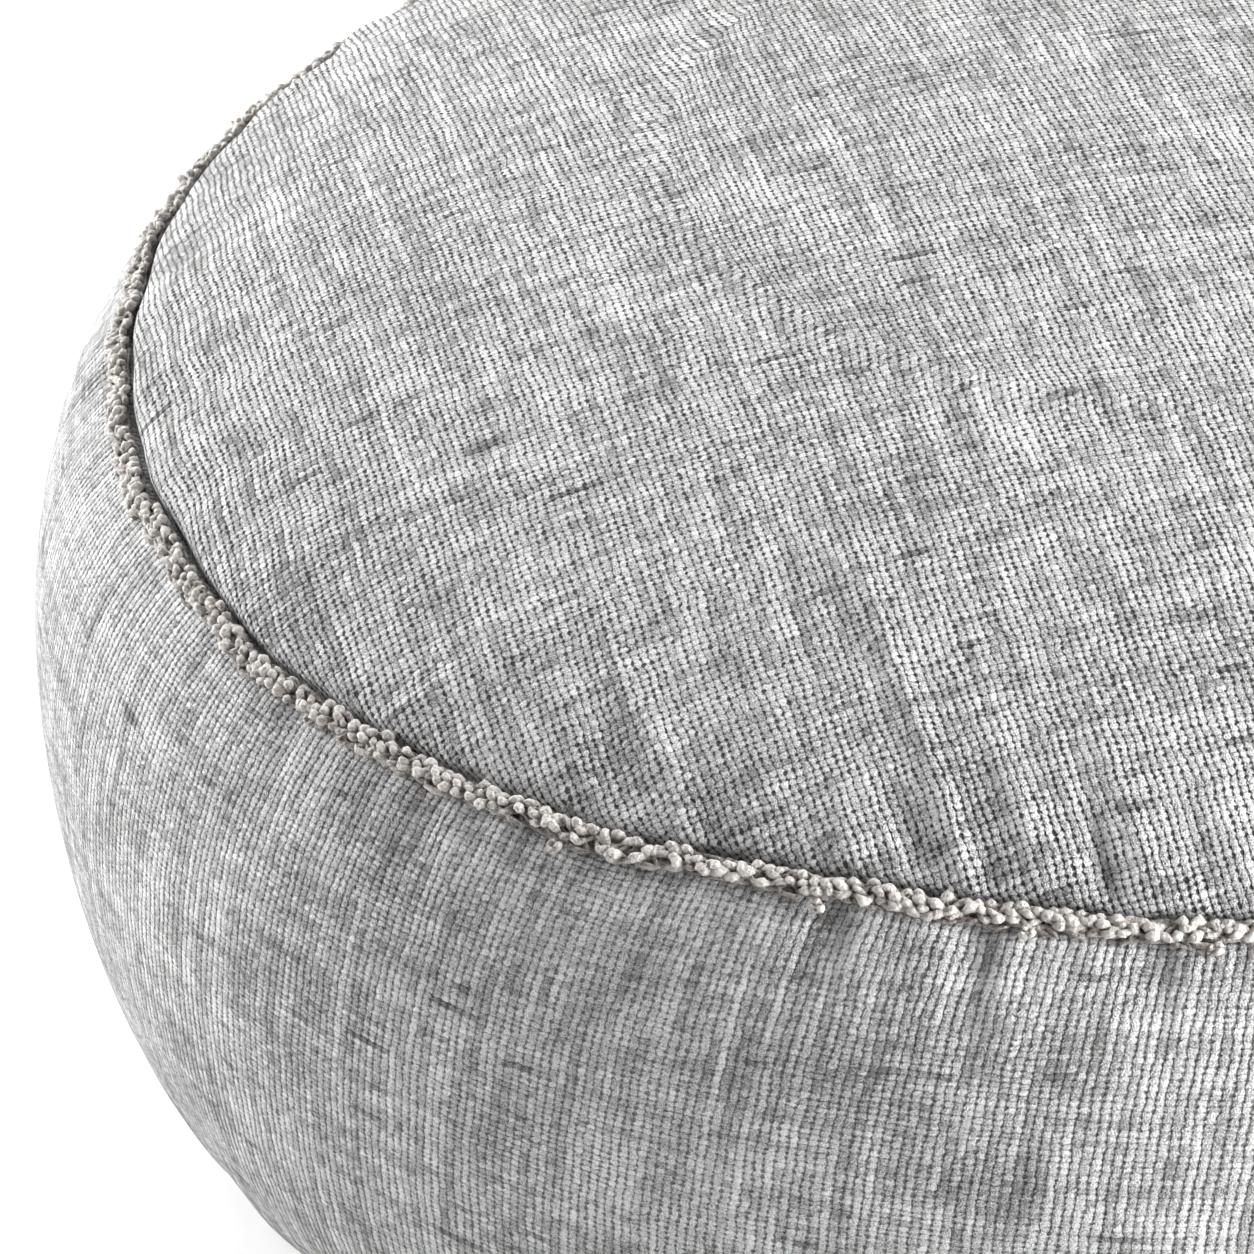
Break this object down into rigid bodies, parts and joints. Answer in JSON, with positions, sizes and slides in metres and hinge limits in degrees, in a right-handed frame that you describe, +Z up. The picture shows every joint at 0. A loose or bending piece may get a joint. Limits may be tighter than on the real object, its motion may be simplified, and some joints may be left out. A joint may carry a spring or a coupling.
{
  "type": "round woven pouf",
  "caption": "Low round pouf in grey slub weave, with a crowned top, a bulging side band and a knobbly yarn braid in the top seam.",
  "frame": {"origin": "on the surface that the pouf rests on, under the middle of its base", "axes": "+Z up through the middle of the top; +X and +Y level, with -Y towards the viewer"},
  "size_m": [0.595, 0.595, 0.246],
  "materials": {
    "weave": "coarse plain weave of uneven grey slub yarn, matt",
    "yarn": "looped cream yarn, matt"
  },
  "bodies": {
    "root": {"top_panel": "weave", "side_band": "weave", "base_panel": "weave", "seam_braid": "yarn"}
  },
  "joints": []
}
